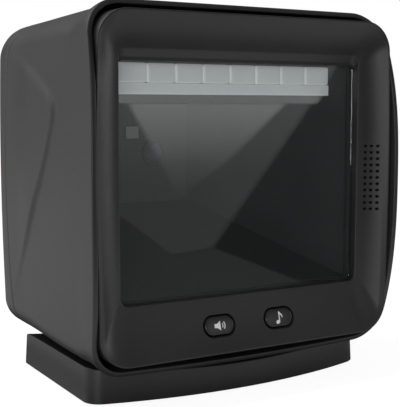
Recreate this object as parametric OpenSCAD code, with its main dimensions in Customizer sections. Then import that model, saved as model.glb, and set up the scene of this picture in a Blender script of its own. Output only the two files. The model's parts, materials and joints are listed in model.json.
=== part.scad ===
// Hands-free presentation barcode scanner: a box-shaped head with an upright
// window, tilting on a low weighted base.
// Millimetres. +Z up, the window faces -Y, +X is on the right of someone
// looking at the window. The origin is on the desk, under the middle.

/* [Head] */
// Width of the head at mid-height
head_w = 132.8; // [132:0.1:134]
// Top of the head above the desk
head_top = 142.9; // [142.5:0.1:143.2]
// Lowest point of the head above the desk
head_bottom = 12.2; // [12.1:0.1:12.3]
// Depth of the head, front lip to rear face
head_d = 100.7; // [100:0.1:104]
// Wall thickness of the housing
wall = 2; // [1.6:0.1:2.2]
// Radius of the head's long corner edges
corner_r = 13; // [12:0.5:13.5]
// How far the sides bow outward at mid-height
side_bow = 1.4; // [0.8:0.1:1.6]
// How far the top bows upward at the middle, behind the front lip
top_bow = 2.2; // [1.6:0.1:2.4]
// How far the bottom bows downward at the middle
bottom_bow = 2.9; // [2.4:0.1:3]
// Height at which the front lip stands furthest forward
lip_mid = 79; // [76:0.5:82]
// How far the lip has fallen back 45 mm above that height
lip_fall_up = 4; // [3:0.1:4.2]
// How far the lip has fallen back 45 mm below that height
lip_fall_down = 2.7; // [2:0.1:2.8]

/* [Window] */
// Width of the window opening
win_w = 103.6; // [102:0.1:103.8]
// Height of the window opening
win_h = 88.8; // [86:0.1:89]
// Height of the window's centre above the desk
win_z = 81.2; // [81:0.1:81.4]
// Depth of the bezel's dished face
dish_d = 6.2; // [5:0.1:6.4]
// Thickness of the window glass
glass_t = 2.5; // [2:0.1:2.5]

/* [Buttons and speaker] */
// Distance of each button from the centre line
button_x = 13.2; // [12:0.1:14]
// Height of the buttons above the desk
button_z = 26.5; // [26:0.1:27]
// Width of a button cap
button_w = 12.3; // [11:0.1:12.6]
// Height of a button cap
button_h = 7; // [6.4:0.1:7.2]
// Travel of a button
button_travel = 0.9; // [0.5:0.1:1]
// Distance between neighbouring rows of holes in the speaker grille
grille_pitch = 2.5; // [2.3:0.1:2.5]
// Distance between neighbouring columns of holes in the speaker grille
grille_column = 2.1; // [2:0.1:2.2]
// Diameter of a hole in the speaker grille
grille_hole = 1.2; // [1:0.1:1.3]

/* [Base] */
// Width of the base
base_w = 120.8; // [118:0.1:122]
// Radius of the base's curved front, seen from above
base_front_r = 200; // [195:5:240]
// Height of the middle of the base's top
base_h = 10.6; // [10.4:0.1:10.7]
// Height of the tilt axis
axis_z = 7.6; // [7.5:0.1:7.7]
// Distance of the tilt axis behind the middle
axis_y = 25.5; // [25.3:0.1:25.6]

/* [Hidden] */

$fn = 48;
eps = 0.01;

// Where things stand along Y
front_y = -head_d / 2;
rear_y = head_d / 2;
seam_y = rear_y - 14;
crest_y = front_y + 2.5;
open_y = crest_y + dish_d;
glass_y = open_y + 3;
flange_y = glass_y + glass_t + 1;
flange_t = 2;
chamber_back_y = 32;

// Head outline
head_h = head_top - head_bottom;
head_z = (head_top + head_bottom) / 2;
side_taper = 0.9;
top_drop = 2.4;
lip_top_bow = 0.3;
bow_from_y = front_y + 10.5;
bow_to_y = front_y + 23.5;
seam_gap = 0.3;
seam_arc_r = 390;
groove = 1.3;
bezel_w = head_w - 2 * (wall + groove);
bezel_bottom = head_bottom + 4.5;
bezel_top = head_top - 4.3;
bezel_h = bezel_top - bezel_bottom;
bezel_z = (bezel_top + bezel_bottom) / 2;
bezel_r = 11;
bezel_bow = [1.2, 0.1];
bezel_wall = 2.4;
skirt_y = flange_y + 1.1;

// Fixings
screw_r = 1.1;
hole_play = 0.05;
head_r = 2.3;
chamber_screw_x = 40;
chamber_screw_z = win_h / 2 + 4.6;
bezel_screw_x = 57.5;
bezel_screw_z = 40;
lug_y = skirt_y + 1;
lug_t = 2.5;
cover_screw_x = 54;
cover_screw_z = 47;

// Optical chamber: inside sizes at its mouth and at its rear wall
mouth_w = 102.4;
mouth_h = 87;
throat_w = 32;
throat_h = 42.4;
throat_z = 86;

// Electronics
board_z = 24;
board_t = 1.6;
board_w = 84;
board_y0 = -22;
board_y1 = 38;
board_screw_y = [board_y0 + 5, board_y1 - 10];
sensor_board_y = 44.4;
lens_z = 86;
socket_z0 = board_z + board_t;
speaker_x = 57.4;
speaker_z = 78;
speaker_y = -32.4;
button_board_y = glass_y + glass_t + 1.6;
button_post_x = 24.2;

// Base
base_y1 = 32.8;
base_front_y = -41.6;
base_top_r = 570;
base_draft = 0.8;
plate_z = 1.2;
plate_t = 2;
plate_top = plate_z + plate_t;
pin_r = 2;
barrel_r = 3.9;
bush_r = 2.9;
arm_half = 20;
ear_x = 22.6;
ear_t = 2;
arm_plate_z = 18;
arm_screw_y = [17, 27.5];

shell_colour = [0.1, 0.1, 0.11];
dark_colour = [0.05, 0.05, 0.05];
board_colour = [0.05, 0.3, 0.15];
steel_colour = [0.7, 0.7, 0.72];
white_colour = [0.92, 0.92, 0.9];

// ---------- helpers ----------

// Points of a rounded rectangle, w by h: each corner has n steps, each side m
function corner_points(w, h, r, q, n) =
    let (sx = (q == 0 || q == 3) ? 1 : -1, sz = q < 2 ? 1 : -1)
    [for (i = [0:n])
        [sx * (w / 2 - r) + r * cos(90 * (q + i / n)), sz * (h / 2 - r) + r * sin(90 * (q + i / n))]];
function round_rect(w, h, r, n = 5, m = 4) =
    [for (q = [0:3])
        let (a = corner_points(w, h, r, q, n), b = corner_points(w, h, r, (q + 1) % 4, n))
        each concat(a, [for (k = [1:m - 1]) a[n] + (b[0] - a[n]) * k / m])];

// The same, bowed outward inside the size w by h: its sides by bx, its top by bt, its bottom by bb
function bowed_rect(w, h, r, bx, bt, bb) =
    let (w0 = w - 2 * bx, h0 = h - bt - bb, mid = (bb - bt) / 2)
    [for (p = round_rect(w0, h0, r))
        [p[0] + sign(p[0]) * bx * (1 - pow(2 * p[1] / h0, 2)),
         p[1] + mid + (p[1] > 0 ? bt : -bb) * (1 - pow(2 * p[0] / w0, 2))]];

// One ring of a loft: an outline set at y, its middle at height z
function ring(outline, y, z) = [for (p = outline) [p[0], y, p[1] + z]];

// Solid through rings of equal length, which run along +Y
module loft(rings) {
    n = len(rings[0]);
    last = (len(rings) - 1) * n;
    sides = [for (k = [0:len(rings) - 2], i = [0:n - 1])
        let (a = k * n + i, b = k * n + (i + 1) % n)
        each [[a, b, b + n], [a, b + n, a + n]]];
    polyhedron(
        points = [for (r = rings) each r],
        faces = concat(sides, [[for (i = [n - 1:-1:0]) i]], [[for (i = [0:n - 1]) last + i]]));
}

// Head outline at y, inset all round
function head_ring(y, inset) =
    let (t = (y - front_y) / (seam_y - front_y),
         w = head_w - 2 * side_taper * t - 2 * inset,
         h = head_h - top_drop * t - 2 * inset,
         grown = max(0, min(1, (y - bow_from_y) / (bow_to_y - bow_from_y))),
         bow = lip_top_bow + (top_bow - lip_top_bow) * grown)
    ring(bowed_rect(w, h, max(corner_r - inset, 3), side_bow, bow, bottom_bow), y,
        head_z - top_drop * t / 2);

// Extrude a shape drawn in X and Z from y0 to y1
module along_y(y0, y1) {
    translate([0, y1, 0]) rotate([90, 0, 0]) linear_extrude(y1 - y0) children();
}

module y_rod(r, x, z, y0, y1) {
    translate([x, y0, z]) rotate([-90, 0, 0]) cylinder(r = r, h = y1 - y0);
}

module x_rod(r, x0, x1, y, z) {
    translate([x0, y, z]) rotate([0, 90, 0]) cylinder(r = r, h = x1 - x0);
}

module z_rod(r, x, y, z0, z1) {
    translate([x, y, z0]) cylinder(r = r, h = z1 - z0);
}

// Box from one corner to the opposite corner
module box(low, high) {
    translate(low) cube(high - low);
}

module rounded(w, h, r) {
    square([w - 2 * r, h], center = true);
    square([w, h - 2 * r], center = true);
    for (x = [-1, 1], z = [-1, 1]) translate([x * (w / 2 - r), z * (h / 2 - r)]) circle(r);
}

module stadium(w, h) {
    square([w - h, h], center = true);
    for (x = [-1, 1]) translate([x * (w - h) / 2, 0]) circle(h / 2);
}

// The children on the right, and their mirror image on the left
module both_sides() {
    children();
    mirror([1, 0, 0]) children();
}

// Screw along Y: head, then shank
module y_screw(x, z, y_head, length, dir = 1) {
    head_t = 1.6;
    if (dir > 0) {
        y_rod(head_r, x, z, y_head, y_head + head_t);
        y_rod(screw_r, x, z, y_head + head_t - eps, y_head + head_t + length);
    } else {
        y_rod(head_r, x, z, y_head - head_t, y_head);
        y_rod(screw_r, x, z, y_head - head_t - length, y_head - head_t + eps);
    }
}

// ---------- bezel ----------

// Space in front of the bezel's dished face, and through its window
module dish() {
    crest = bowed_rect(bezel_w - 1.2, bezel_h - 1.2, bezel_r - 0.6, bezel_bow[0], bezel_bow[1], bezel_bow[1]);
    opening = [for (p = bowed_rect(win_w, win_h, 3, 0.1, 0.1, 0.1)) [p[0], p[1] + win_z - bezel_z]];
    bend = 0.37;
    steps = 5;
    loft([
        ring(crest, crest_y - 5, bezel_z),
        for (k = [0:steps])
            let (t = k / steps, depth = dish_d * (bend * t + (1 - bend) * (1 - pow(1 - t, 2))))
            ring(crest + (opening - crest) * t, crest_y - eps + depth, bezel_z),
        ring([for (p = opening) [p[0] * 0.99, p[1] * 0.99]], open_y + 0.8, bezel_z)]);
    along_y(open_y - 1, skirt_y + 5) translate([0, win_z]) rounded(win_w - 0.2, win_h - 0.2, 3);
}

module bezel_prism(inset, y0, y1) {
    along_y(y0, y1) translate([0, bezel_z])
        polygon(bowed_rect(bezel_w - 2 * inset, bezel_h - 2 * inset, bezel_r - inset,
            bezel_bow[0], bezel_bow[1], bezel_bow[1]));
}

module front_bezel() color(shell_colour) {
    difference() {
        union() {
            difference() {
                bezel_prism(0, crest_y, skirt_y);
                difference() {
                    bezel_prism(bezel_wall, glass_y - 1.8, skirt_y + 1);
                    along_y(crest_y, glass_y + glass_t - 0.1) translate([0, win_z])
                        rounded(win_w + 6, win_h + 6, 3);
                }
            }
            // pad behind the buttons
            box([-24, crest_y + 3, button_z - 7], [24, crest_y + 7.8, button_z + 6]);
            // posts for the chamber screws, the housing screws and the button board
            for (x = [-1, 1], z = [-1, 1]) {
                y_rod(2.8, x * chamber_screw_x, win_z + z * chamber_screw_z, crest_y + 3, flange_y);
                y_rod(2.5, x * bezel_screw_x, win_z + z * bezel_screw_z, crest_y + 3, lug_y);
            }
            for (x = [-1, 1]) y_rod(2, x * button_post_x, button_z, crest_y + 4, button_board_y);
        }
        dish();
        along_y(glass_y, skirt_y + 1) translate([0, win_z]) rounded(win_w + 3, win_h + 3, 3);
        for (x = [-button_x, button_x])
            along_y(crest_y - 1, skirt_y) translate([x, button_z]) stadium(button_w + 1.6, button_h + 0.8);
        for (i = [-1:1], k = [-5:5])
            y_rod(grille_hole / 2, speaker_x + i * grille_column, speaker_z + k * grille_pitch,
                crest_y - 1, glass_y + 2);
        // room for the foam between the grille and the speaker
        box([53.4, glass_y, speaker_z - 14.5], [60.1, skirt_y + 1, speaker_z + 14.5]);
        for (x = [-1, 1], z = [-1, 1]) {
            y_rod(screw_r + hole_play, x * chamber_screw_x, win_z + z * chamber_screw_z,
                flange_y - 5, flange_y + 1);
            y_rod(screw_r + hole_play, x * bezel_screw_x, win_z + z * bezel_screw_z,
                lug_y - 6, lug_y + 1);
        }
        for (x = [-1, 1])
            y_rod(0.95, x * button_post_x, button_z, button_board_y - 4, button_board_y + 1);
    }
}

// ---------- housing ----------

// Everything behind the front lip, whose profile is a cubic curve that falls back up and down
module behind_lip() {
    fall = [for (k = [-20:20]) let (z = lip_mid + 3.5 * k, d = abs(z - lip_mid) / 45)
        [front_y + (k > 0 ? lip_fall_up : lip_fall_down) * pow(d, 3), z]];
    rotate([90, 0, 90]) translate([0, 0, -head_w]) linear_extrude(2 * head_w)
        polygon(concat(fall, [[rear_y + 20, lip_mid + 70], [rear_y + 20, lip_mid - 70]]));
}

// Everything ahead of the seam between housing and rear cover
module ahead_of_seam(gap) {
    x_rod(seam_arc_r, -head_w, head_w, seam_y - gap - seam_arc_r, head_z, $fn = 256);
}

function housing_rings(inset, y0, y1) = [for (y = [y0, bow_from_y, bow_to_y, y1]) head_ring(y, inset)];

module main_housing() color(shell_colour) {
    y_end = seam_y + 4;
    difference() {
        union() {
            intersection() {
                difference() {
                    loft(housing_rings(0, front_y - 2, y_end));
                    loft(housing_rings(wall, front_y - 4, y_end + 2));
                }
                behind_lip();
                ahead_of_seam(0);
            }
            // lugs that the bezel is screwed to
            both_sides() for (z = [-1, 1])
                box([54.5, lug_y, win_z + z * bezel_screw_z - 4],
                    [head_w / 2 - 1.6, lug_y + lug_t, win_z + z * bezel_screw_z + 4]);
            // bosses that take the rear cover's screws
            both_sides() for (z = [-1, 1]) {
                y_rod(3.6, cover_screw_x, head_z + z * cover_screw_z, seam_y - 12, seam_y - 3.2);
                box([cover_screw_x, seam_y - 12, head_z + z * cover_screw_z - 1],
                    [63.6, seam_y - 3.2, head_z + z * cover_screw_z + 1]);
            }
            // bosses under the main board and under the hinge arm's plate
            both_sides() for (y = board_screw_y)
                z_rod(3, board_w / 2 - 5, y, head_bottom + 2, board_z);
            both_sides() for (y = arm_screw_y)
                z_rod(3.2, 24, y, head_bottom + 1.2, arm_plate_z);
        }
        both_sides() for (z = [-1, 1]) {
            y_rod(1.25, cover_screw_x, head_z + z * cover_screw_z, seam_y - 10, seam_y);
            y_rod(screw_r + 0.3, bezel_screw_x, win_z + z * bezel_screw_z, lug_y - 1, lug_y + lug_t + 1);
        }
        both_sides() for (y = board_screw_y)
            z_rod(screw_r + hole_play, board_w / 2 - 5, y, board_z - 6, board_z + 1);
        both_sides() for (y = arm_screw_y)
            z_rod(screw_r + hole_play, 24, y, arm_plate_z - 4, arm_plate_z + 1);
        // slot for the hinge arm's neck
        box([-13, axis_y - 5.5, 0], [13, axis_y + 5.5, 17]);
    }
}

// Rings of the rear cover, whose rear edge is rounded all the way round
cover_edge_r = 8.5;
cover_steps = 4;
function cover_rings(inset, y_last) = concat(
    [head_ring(seam_y - 6, inset)],
    [for (k = [0:cover_steps])
        let (a = 90 * k / cover_steps, back = cover_edge_r * (1 - sin(a)), in = cover_edge_r * (1 - cos(a)))
        head_ring(y_last - back, inset + in)]);

module rear_cover() color(shell_colour) {
    z_low = socket_z0 - 0.4;
    difference() {
        union() {
            difference() {
                loft(cover_rings(0, rear_y));
                loft(cover_rings(wall, rear_y - wall));
            }
            both_sides() for (z = [-1, 1])
                y_rod(3.6, cover_screw_x, head_z + z * cover_screw_z, seam_y - 2.4, rear_y - 1);
        }
        ahead_of_seam(-seam_gap);
        both_sides() for (z = [-1, 1]) {
            y_rod(1.5, cover_screw_x, head_z + z * cover_screw_z, seam_y - 4, rear_y + 1);
            y_rod(3, cover_screw_x, head_z + z * cover_screw_z, rear_y - 8, rear_y + 1);
        }
        box([-7.8, seam_y, z_low], [7.8, rear_y + 1, z_low + 12.8]);
    }
}

// ---------- window and optics ----------

module window_glass() color([0.3, 0.32, 0.34, 0.4]) {
    along_y(glass_y, glass_y + glass_t) translate([0, win_z]) rounded(win_w + 2.8, win_h + 2.8, 3);
}

module window_gasket() color(dark_colour) {
    y0 = glass_y + glass_t;
    along_y(y0, flange_y) translate([0, win_z]) difference() {
        rounded(win_w + 2.6, win_h + 2.6, 3);
        rounded(win_w - 0.6, win_h - 0.6, 2);
    }
}

// Funnel between the mouth and the rear wall, grown by t
module funnel(t, y0, y1) {
    hull() {
        translate([0, y0, win_z]) cube([mouth_w + 2 * t, eps, mouth_h + 2 * t], center = true);
        translate([0, y1, throat_z]) cube([throat_w + 2 * t, eps, throat_h + 2 * t], center = true);
    }
}

module optical_chamber() color(dark_colour) {
    difference() {
        union() {
            funnel(1.8, flange_y + 1, chamber_back_y + 2);
            along_y(flange_y, flange_y + flange_t) translate([0, win_z]) {
                rounded(win_w + 2.6, win_h + 2.6, 3);
                for (x = [-1, 1], z = [-1, 1])
                    translate([x * chamber_screw_x, z * chamber_screw_z]) circle(3.6);
            }
        }
        funnel(0, flange_y - eps, chamber_back_y);
        along_y(flange_y - 1, flange_y + 0.2) translate([0, win_z]) square([mouth_w, mouth_h], center = true);
        for (x = [-1, 1], z = [-1, 1])
            y_rod(screw_r + 0.3, x * chamber_screw_x, win_z + z * chamber_screw_z,
                flange_y - 1, flange_y + flange_t + 1);
        y_rod(6.3, 0, lens_z, chamber_back_y - 1, chamber_back_y + 3);
        box([-14.1, chamber_back_y - 1, 92.3], [-7.9, chamber_back_y + 3, 97.7]);
    }
}

// Segmented white strip under the chamber's ceiling, with its lights behind it
diffuser_cells = 8;
diffuser_w = 93;
diffuser_z0 = 114.6;
diffuser_z1 = 121.6;
diffuser_y = flange_y + 5;

module light_diffuser() color(white_colour) {
    cell_w = diffuser_w / diffuser_cells;
    difference() {
        box([-diffuser_w / 2, diffuser_y, diffuser_z0], [diffuser_w / 2, diffuser_y + 2.4, diffuser_z1]);
        for (i = [0:diffuser_cells])
            box([(i - diffuser_cells / 2) * cell_w - 0.35, diffuser_y - 1, diffuser_z0 - 1],
                [(i - diffuser_cells / 2) * cell_w + 0.35, diffuser_y + 0.7, diffuser_z1 + 1]);
    }
}

module led_board() color(board_colour) {
    box([-45, diffuser_y + 4.2, diffuser_z0 + 0.4], [45, diffuser_y + 5.4, diffuser_z1 - 1.6]);
}

module illumination_leds() color(white_colour) {
    for (i = [0:diffuser_cells - 1])
        translate([(i + 0.5 - diffuser_cells / 2) * 11, diffuser_y + 3, (diffuser_z0 + diffuser_z1) / 2])
            rotate([-90, 0, 0]) union() {
                translate([-1.75, -1.4, 0.4]) cube([3.5, 2.8, 0.8]);
                cylinder(r = 1.1, h = 0.5);
            }
}

module status_light() color(white_colour) {
    box([-14, chamber_back_y - 0.8, 92.4], [-8, chamber_back_y + 2.6, 97.6]);
}

module camera_holder() color(dark_colour) {
    difference() {
        box([-10, chamber_back_y + 2.7, lens_z - 10], [10, sensor_board_y, lens_z + 10]);
        y_rod(6.05, 0, lens_z, chamber_back_y, sensor_board_y - 3);
        box([-6, sensor_board_y - 4, lens_z - 6], [6, sensor_board_y + 1, lens_z + 6]);
    }
}

module lens_barrel() color(dark_colour) {
    difference() {
        y_rod(6, 0, lens_z, chamber_back_y - 1, sensor_board_y - 4.4);
        y_rod(4, 0, lens_z, chamber_back_y - 2, chamber_back_y + 1);
        y_rod(3, 0, lens_z, chamber_back_y, sensor_board_y);
    }
}

module lens_glass() color([0.2, 0.25, 0.4, 0.6]) {
    y_rod(3.95, 0, lens_z, chamber_back_y - 0.3, chamber_back_y + 1);
}

module image_sensor() color([0.2, 0.2, 0.25]) {
    box([-4.5, sensor_board_y - 1.2, lens_z - 3.5], [4.5, sensor_board_y, lens_z + 3.5]);
}

module sensor_board() color(board_colour) {
    box([-23, sensor_board_y, lens_z - 14], [23, sensor_board_y + 1.2, lens_z + 14]);
}

// ---------- electronics ----------

module main_board() color(board_colour) {
    difference() {
        box([-board_w / 2, board_y0, board_z], [board_w / 2, board_y1, board_z + board_t]);
        both_sides() for (y = board_screw_y)
            z_rod(screw_r + 0.3, board_w / 2 - 5, y, board_z - 1, board_z + board_t + 1);
    }
}

module processor_shield() color(steel_colour) {
    box([-14, -12, board_z + board_t], [14, 14, board_z + board_t + 3]);
}

module board_connectors() color(white_colour) {
    z0 = board_z + board_t;
    difference() {
        box([-24, 31, z0], [-12, 36, z0 + 3]);
        box([-22.2, 33, z0 + 0.8], [-13.8, 37, z0 + 1.4]);
    }
    box([20, -18, z0], [30, -13, z0 + 3.4]);
    box([-30, -18, z0], [-20, -13, z0 + 3.4]);
}

// Flat cable from the sensor board down to the main board
module ribbon_cable() color([0.85, 0.6, 0.3]) {
    bend_r = 8;
    cable_t = 0.3;
    y_out = sensor_board_y + 1.2 + cable_t;
    z_low = board_z + board_t + 0.95;
    translate([-22, 0, 0]) {
        box([0, y_out - cable_t, z_low + bend_r], [8, y_out, lens_z - 10]);
        box([0, 33.4, z_low], [8, y_out - bend_r, z_low + cable_t]);
        intersection() {
            difference() {
                x_rod(bend_r, 0, 8, y_out - bend_r, z_low + bend_r);
                x_rod(bend_r - cable_t, -1, 9, y_out - bend_r, z_low + bend_r);
            }
            box([0, y_out - bend_r, z_low], [8, y_out, z_low + bend_r]);
        }
    }
}

module cable_socket() color(dark_colour) {
    difference() {
        box([-7.5, 30, socket_z0], [7.5, rear_y - 0.7, socket_z0 + 12]);
        box([-5.9, 35, socket_z0 + 2], [5.9, rear_y, socket_z0 + 9]);
        box([-2, 35, socket_z0 + 8], [2, rear_y, socket_z0 + 10.6]);
    }
}

module speaker_basket() color(dark_colour) {
    difference() {
        box([speaker_x - 5, speaker_y, speaker_z - 15], [speaker_x + 5, speaker_y + 5, speaker_z + 15]);
        box([speaker_x - 4, speaker_y - 1, speaker_z - 14], [speaker_x + 4, speaker_y + 4, speaker_z + 14]);
        box([speaker_x - 2.6, speaker_y, speaker_z - 8], [speaker_x + 2.6, speaker_y + 6, speaker_z + 8]);
    }
}

module speaker_cone() color([0.15, 0.15, 0.15]) {
    translate([speaker_x, 0, speaker_z]) along_y(speaker_y + 0.4, speaker_y + 1) rotate(90) stadium(27, 7.8);
}

module speaker_magnet() color(steel_colour) {
    box([speaker_x - 2.5, speaker_y + 2, speaker_z - 7.9],
        [speaker_x + 2.5, speaker_y + 6.4, speaker_z + 7.9]);
}

module speaker_gasket() color(dark_colour) {
    difference() {
        box([53.6, glass_y + 0.2, speaker_z - 14.3], [59.9, speaker_y, speaker_z + 14.3]);
        box([54.4, glass_y - 1, speaker_z - 13.5], [59.1, speaker_y + 1, speaker_z + 13.5]);
    }
}

module button_board() color(board_colour) {
    difference() {
        box([-27, button_board_y, button_z - 7], [27, button_board_y + 1.2, button_z + 6]);
        for (x = [-1, 1]) y_rod(1.2, x * button_post_x, button_z, button_board_y - 1, button_board_y + 2);
    }
}

module tact_switch(x) color(steel_colour) {
    box([x - 3, button_board_y - 1, button_z - 3], [x + 3, button_board_y, button_z + 3]);
    y_rod(1.4, x, button_z, button_board_y - 1.3, button_board_y - 1 + eps);
}

module volume_switch() tact_switch(-button_x);

module tone_switch() tact_switch(button_x);

// ---------- fasteners of the head ----------

module board_screws() color(steel_colour) {
    both_sides() for (y = board_screw_y) {
        z_rod(screw_r, board_w / 2 - 5, y, board_z - 5, board_z + board_t + eps);
        z_rod(head_r, board_w / 2 - 5, y, board_z + board_t, board_z + board_t + 1.5);
    }
    for (x = [-1, 1]) {
        y_rod(0.9, x * button_post_x, button_z, button_board_y - 3.6, button_board_y + 1.2 + eps);
        y_rod(1.9, x * button_post_x, button_z, button_board_y + 1.2, button_board_y + 2.2);
    }
}

module chamber_screws() color(steel_colour) {
    for (x = [-1, 1], z = [-1, 1])
        y_screw(x * chamber_screw_x, win_z + z * chamber_screw_z, flange_y + flange_t + 1.6, 6, -1);
}

module bezel_screws() color(steel_colour) {
    for (x = [-1, 1], z = [-1, 1])
        y_screw(x * bezel_screw_x, win_z + z * bezel_screw_z, lug_y + lug_t + 1.6, 7.5, -1);
}

module housing_screws() color(steel_colour) {
    for (x = [-1, 1], z = [-1, 1])
        y_screw(x * cover_screw_x, head_z + z * cover_screw_z, rear_y - 6.4, 14, -1);
}

// ---------- tilt hinge, head side ----------

module hinge_arm() color(steel_colour) {
    difference() {
        union() {
            x_rod(barrel_r, -arm_half, arm_half, axis_y, axis_z);
            box([-12, axis_y - 3, axis_z], [12, axis_y + 3, arm_plate_z + 1]);
            box([-28, 13, arm_plate_z], [28, 33, arm_plate_z + 2]);
        }
        x_rod(bush_r + 0.03, -arm_half - 1, arm_half + 1, axis_y, axis_z);
        both_sides() for (y = arm_screw_y)
            z_rod(screw_r + 0.3, 24, y, arm_plate_z - 1, arm_plate_z + 3);
    }
}

module hinge_bushes() color(white_colour) {
    both_sides() difference() {
        x_rod(bush_r, arm_half - 10, arm_half, axis_y, axis_z);
        x_rod(pin_r + 0.05, arm_half - 11, arm_half + 1, axis_y, axis_z);
    }
}

module arm_screws() color(steel_colour) {
    both_sides() for (y = arm_screw_y) {
        z_rod(screw_r, 24, y, arm_plate_z - 3.6, arm_plate_z + 2 + eps);
        z_rod(head_r, 24, y, arm_plate_z + 2, arm_plate_z + 3.6);
    }
}

// ---------- buttons ----------

module button(x) color(dark_colour) {
    face_y = crest_y + 3.7;
    tilt = 16;
    difference() {
        union() {
            along_y(face_y - 2, crest_y + 8.3) translate([x, button_z]) stadium(button_w, button_h);
            along_y(crest_y + 8.2, crest_y + 9.2) translate([x, button_z])
                rounded(button_w + 3.4, button_h + 2.4, 3);
            y_rod(2.2, x, button_z, crest_y + 9.1, button_board_y - 1.3 - button_travel - 0.15);
        }
        // the cap's face leans like the bezel around it, and holds the icon's recess
        translate([x, face_y, button_z]) rotate([-tilt, 0, 0])
            translate([-button_w, -8, -button_h]) cube([2 * button_w, 8, 2 * button_h]);
        icon_recess(x) children();
    }
}

// Takes an icon's outline and cuts or fills it in a button's face
module icon_recess(x) {
    translate([x, crest_y + 3.7, button_z]) rotate([-16, 0, 0])
        translate([0, 0.15, 0]) rotate([90, 0, 0]) linear_extrude(0.2) children();
}

module speaker_shape() {
    translate([-2.3, -0.8]) square([1.2, 1.6]);
    polygon([[-1.2, -0.8], [0.3, -1.9], [0.3, 1.9], [-1.2, 0.8]]);
    for (r = [1.2, 2.1]) intersection() {
        difference() {
            circle(r + 0.25);
            circle(r - 0.1);
        }
        polygon([[0.5, 0], [3, 2.2], [3, -2.2]]);
    }
}

module note_shape() {
    translate([-0.7, -1.6]) circle(0.85);
    translate([-0.25, -1.6]) square([0.4, 3.9]);
    polygon([[0.15, 2.3], [0.15, 1.3], [1.3, 0.5], [1.5, 1.1], [0.75, 1.5]]);
}

module volume_button() button(-button_x) speaker_shape();

module tone_button() button(button_x) note_shape();

module volume_icon() color("white") intersection() {
    icon_recess(-button_x) speaker_shape();
    along_y(crest_y, crest_y + 8) translate([-button_x, button_z]) stadium(button_w, button_h);
}

module tone_icon() color("white") intersection() {
    icon_recess(button_x) note_shape();
    along_y(crest_y, crest_y + 8) translate([button_x, button_z]) stadium(button_w, button_h);
}

// ---------- base ----------

// Outline of the base seen from above, inset all round
function base_outline(inset) =
    let (r = 7, w = base_w / 2 - inset, big = base_front_r - inset,
         centre_y = base_front_y + base_front_r,
         cy = centre_y - sqrt(pow(big - r, 2) - pow(w - r, 2)),
         a0 = asin((w - r) / (big - r)),
         rear = base_y1 - inset, rr = 1.2,
         right = concat(
             [for (k = [0:8]) let (a = -90 + a0 * k / 8) [big * cos(a), centre_y + big * sin(a)]],
             [for (k = [1:6]) let (a = -90 + a0 + (90 - a0) * k / 6) [w - r + r * cos(a), cy + r * sin(a)]],
             [for (k = [0:4]) let (a = 90 * k / 4) [w - rr + rr * cos(a), rear - rr + rr * sin(a)]]))
    concat(right, [for (i = [len(right) - 1:-1:1]) [-right[i][0], right[i][1]]]);

// Solid of the base's outline, a little narrower towards its top
module base_body(inset, z0, z1) {
    n = len(base_outline(0));
    low = [for (p = base_outline(inset)) [p[0], p[1], z0]];
    high = [for (p = base_outline(inset + base_draft)) [p[0], p[1], z1]];
    polyhedron(
        points = concat(low, high),
        faces = concat(
            [for (i = [0:n - 1]) each [[i, n + i, (i + 1) % n], [(i + 1) % n, n + i, n + (i + 1) % n]]],
            [[for (i = [0:n - 1]) i]], [[for (i = [n - 1:-1:0]) n + i]]));
}

// Everything under the base's curved top, lowered by t
module under_base_top(t) {
    translate([0, 0, -t]) difference() {
        box([-90, -80, -20], [90, 80, 40]);
        translate([0, 90, base_h + base_top_r]) rotate([90, 0, 0])
            cylinder(r = base_top_r, h = 180, $fn = 360);
    }
}

module base_shell() color(shell_colour) {
    z0 = 0.8;
    z_top = 16;
    difference() {
        union() {
            difference() {
                intersection() {
                    base_body(0, z0, z_top);
                    under_base_top(0);
                    // the top falls away behind the axis, to clear the tilted head
                    translate([0, axis_y + 1, 0]) rotate([-9, 0, 0]) translate([0, -axis_y - 1, 0])
                        under_base_top(0);
                }
                intersection() {
                    base_body(2.2, z0 - 1, z_top);
                    under_base_top(2.2);
                }
            }
            both_sides() for (y = [-22, 10]) z_rod(3, 53.5, y, plate_top, base_h + 1.2);
        }
        both_sides() for (y = [-22, 10]) z_rod(screw_r + hole_play, 53.5, y, plate_top - 1, base_h - 2.4);
        // slot for the hinge
        box([-27.4, axis_y - 5.2, 4], [27.4, base_y1 - 2.8, 20]);
        // seats of the stop pads
        for (x = [-38, 38]) z_rod(4.1, x, -26, base_h, 20);
    }
}

module base_plate() color(steel_colour) {
    difference() {
        intersection() {
            base_body(2.7, plate_z, 16);
            box([-90, -80, plate_z], [90, 80, plate_top]);
        }
        both_sides() for (y = [-22, 10]) z_rod(screw_r + 0.3, 53.5, y, 0, plate_top + 1);
        both_sides() for (y = [-14, 10]) z_rod(1.65, 34, y, 0, plate_top + 1);
        both_sides() z_rod(screw_r + 0.2, 33, 25.5, 0, plate_top + 1);
    }
}

module ballast_weight() color(steel_colour) {
    difference() {
        box([-46, -28, plate_top], [46, 17, base_h - 2.9]);
        both_sides() for (y = [-14, 10]) z_rod(3, 34, y, 0, base_h);
    }
}

module stop_pads() color(dark_colour) {
    for (x = [-38, 38]) z_rod(4, x, -26, base_h, 12.8);
}

module rubber_feet() color(dark_colour) {
    both_sides() for (y = [-22, 22]) z_rod(6, 44, y, 0, plate_z);
}

// ---------- tilt hinge, base side ----------

module hinge_brackets() color(steel_colour) {
    both_sides() difference() {
        union() {
            x_rod(4, ear_x, ear_x + ear_t, axis_y, axis_z);
            box([ear_x, axis_y - 4, plate_top], [ear_x + ear_t, axis_y + 4, axis_z]);
            box([ear_x, axis_y - 4, plate_top], [ear_x + 15, axis_y + 4, plate_top + 1.6]);
        }
        x_rod(pin_r + 0.02, ear_x - 1, ear_x + ear_t + 1, axis_y, axis_z);
        z_rod(screw_r + 0.2, 33, 25.5, 0, 8);
    }
}

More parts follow.
